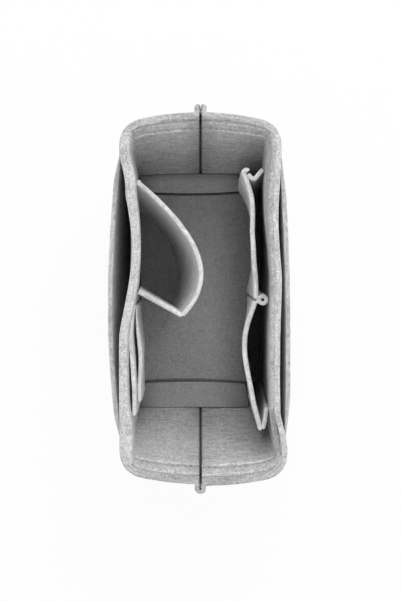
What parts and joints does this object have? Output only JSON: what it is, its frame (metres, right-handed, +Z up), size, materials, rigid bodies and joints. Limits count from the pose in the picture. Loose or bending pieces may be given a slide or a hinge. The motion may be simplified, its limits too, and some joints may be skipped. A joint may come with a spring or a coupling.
{
  "type": "purse organizer insert",
  "caption": "Open box of sewn felt that drops into a handbag, with outer slip pockets, a curved bottle pocket, card pockets and a long pleated pocket.",
  "frame": {"origin": "middle of the underside of the base, centred between the outer faces", "axes": "+Z up from the base to the rim, +Y along the length towards the back end, +X towards the wall with the pleated pocket"},
  "size_m": [0.1314, 0.274, 0.15],
  "materials": {
    "wall_felt": "heather grey felt",
    "pocket_felt": "heather grey felt",
    "base_felt": "heather grey felt",
    "board": "plain board"
  },
  "bodies": {
    "shell": {"base_panel": "base_felt", "base_board": "board", "floor_lining": "base_felt", "left_wall": "wall_felt", "right_wall": "wall_felt", "left_lining": "wall_felt", "right_lining": "wall_felt", "back_left_facing": "wall_felt", "back_right_facing": "wall_felt", "front_left_facing": "wall_felt", "front_right_facing": "wall_felt", "bottle_pocket_tab": "pocket_felt", "bottle_pocket_gusset": "pocket_felt", "pleat_loop": "pocket_felt", "pleat_back_gusset": "pocket_felt", "pleat_front_gusset": "pocket_felt"},
    "left_outer_pocket": {"left_outer_pocket": "pocket_felt"},
    "right_outer_pocket": {"right_outer_pocket": "pocket_felt"},
    "bottle_pocket": {"bottle_pocket_panel": "pocket_felt"},
    "card_pocket_rear": {"card_pocket_rear": "pocket_felt"},
    "card_pocket_front": {"card_pocket_front": "pocket_felt"},
    "pleat_back_panel": {"pleat_back_panel": "pocket_felt"},
    "pleat_front_panel": {"pleat_front_panel": "pocket_felt"},
    "back_base_flap": {"back_base_flap": "base_felt"},
    "front_base_flap": {"front_base_flap": "base_felt"}
  },
  "joints": [
    {"name": "left_outer_pocket_open", "type": "hinge", "parent": "shell", "child": "left_outer_pocket", "pos_m": [-0.05755, 0, 0.0039], "axis": [0, -1, 0], "range_deg": [0, 6], "stiffness_Nm_per_rad": 0.3},
    {"name": "right_outer_pocket_open", "type": "hinge", "parent": "shell", "child": "right_outer_pocket", "pos_m": [0.05755, 0, 0.0039], "axis": [0, 1, 0], "range_deg": [0, 6], "stiffness_Nm_per_rad": 0.3},
    {"name": "bottle_pocket_swing", "type": "hinge", "parent": "shell", "child": "bottle_pocket", "pos_m": [-0.0439, 0.064, 0.0103], "axis": [0.0236, 0.1458, 0.989], "range_deg": [-12, 0], "stiffness_Nm_per_rad": 0.05, "deforming": ["bottle_pocket_gusset"]},
    {"name": "card_pocket_rear_open", "type": "hinge", "parent": "shell", "child": "card_pocket_rear", "pos_m": [-0.0469, -0.045, 0.045], "axis": [0, 1, 0], "range_deg": [0, 1.2], "stiffness_Nm_per_rad": 0.2},
    {"name": "card_pocket_front_open", "type": "hinge", "parent": "card_pocket_rear", "child": "card_pocket_front", "pos_m": [-0.0437, -0.04, 0.045], "axis": [0, 1, 0], "range_deg": [0, 1.8], "stiffness_Nm_per_rad": 0.2},
    {"name": "pleat_back_panel_swing", "type": "hinge", "parent": "shell", "child": "pleat_back_panel", "pos_m": [0.0379, -0.0015, 0.0103], "axis": [0.0108, 0, 0.9999], "range_deg": [-2.5, 1.5], "stiffness_Nm_per_rad": 0.05, "deforming": ["pleat_back_gusset"]},
    {"name": "pleat_front_panel_swing", "type": "hinge", "parent": "shell", "child": "pleat_front_panel", "pos_m": [0.0379, -0.0015, 0.0103], "axis": [-0.0108, 0, -0.9999], "range_deg": [-2.5, 2.6], "stiffness_Nm_per_rad": 0.05, "deforming": ["pleat_front_gusset"]},
    {"name": "back_base_flap_lift", "type": "hinge", "parent": "shell", "child": "back_base_flap", "pos_m": [0, 0.0894, 0.0137], "axis": [-1, 0, 0], "range_deg": [0, 85]},
    {"name": "front_base_flap_lift", "type": "hinge", "parent": "shell", "child": "front_base_flap", "pos_m": [0, -0.0894, 0.0137], "axis": [1, 0, 0], "range_deg": [0, 85]}
  ]
}
